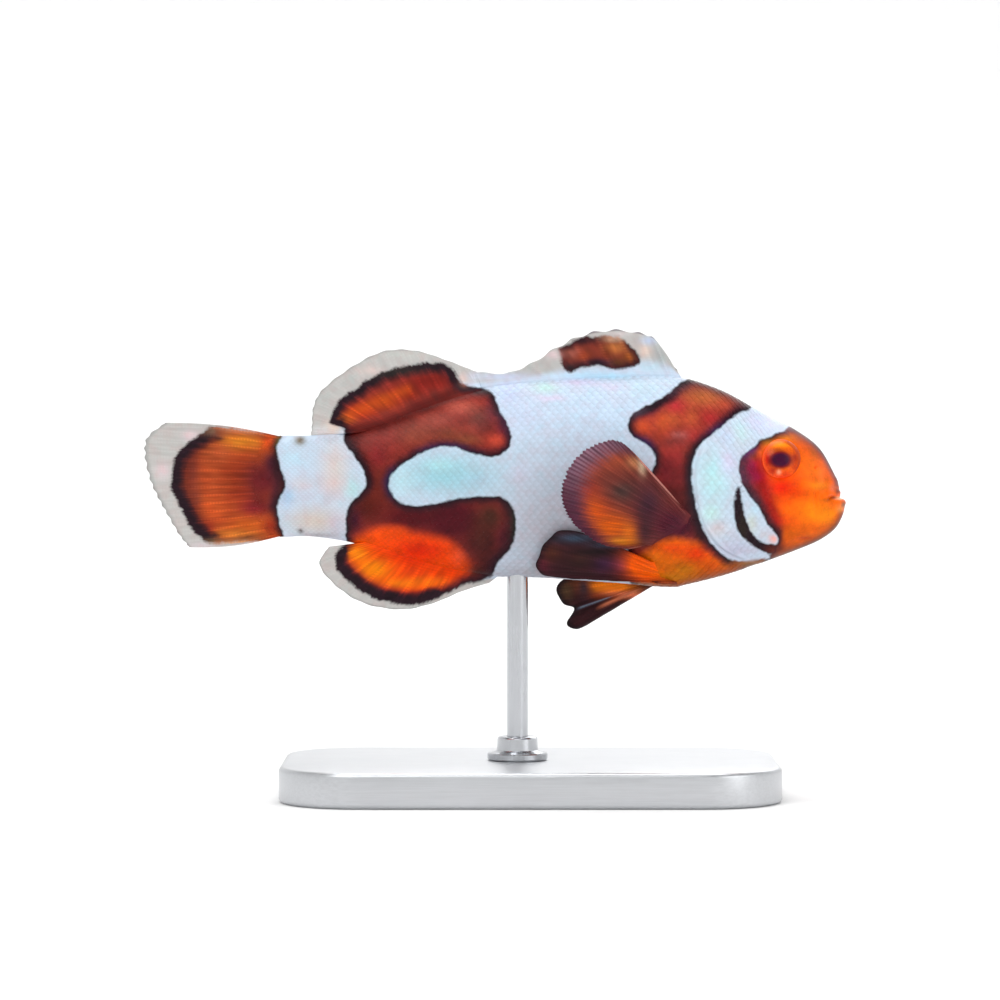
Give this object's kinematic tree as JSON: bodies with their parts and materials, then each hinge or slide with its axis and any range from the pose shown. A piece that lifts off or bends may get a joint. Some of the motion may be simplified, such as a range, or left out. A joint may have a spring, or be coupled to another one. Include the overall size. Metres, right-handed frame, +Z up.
{
  "type": "clownfish model",
  "caption": "Still life-size clownfish in white, orange and maroon with black edges, swimming level, fins spread, held by one rod on a flat base.",
  "frame": {"origin": "on the floor, under the middle of the model's box and on the fish's middle plane", "axes": "+X towards the fish's snout, +Y out of its left side, +Z up"},
  "size_m": [0.0794, 0.034, 0.0529],
  "materials": {
    "skin": "wet-looking satin skin, bluish white with orange to maroon patches edged in black",
    "scales": "small overlapping satin scales that carry the skin's markings",
    "fin": "thin rayed fins, orange to maroon inside, black band, pale grey margin",
    "eye": "clear gloss over a dark pupil and an orange-red iris",
    "stand_plate": "fine brushed, satin",
    "stand_rod": "fine ground stainless"
  },
  "bodies": {
    "root": {"head": "skin", "upper_lip": "skin", "lower_jaw": "skin", "gill_cover_right": "skin", "gill_cover_left": "skin", "eye_right": "eye", "eye_left": "eye", "trunk": "skin", "tail_stalk": "skin", "dorsal_fin_front": "fin", "dorsal_fin_rear": "fin", "anal_fin": "fin", "tail_fin": "fin", "pectoral_fin_right": "fin", "pectoral_fin_left": "fin", "pelvic_fin_right": "fin", "pelvic_fin_left": "fin", "stand_base": "stand_plate", "stand_collar": "stand_rod", "stand_rod": "stand_rod"}
  },
  "joints": []
}
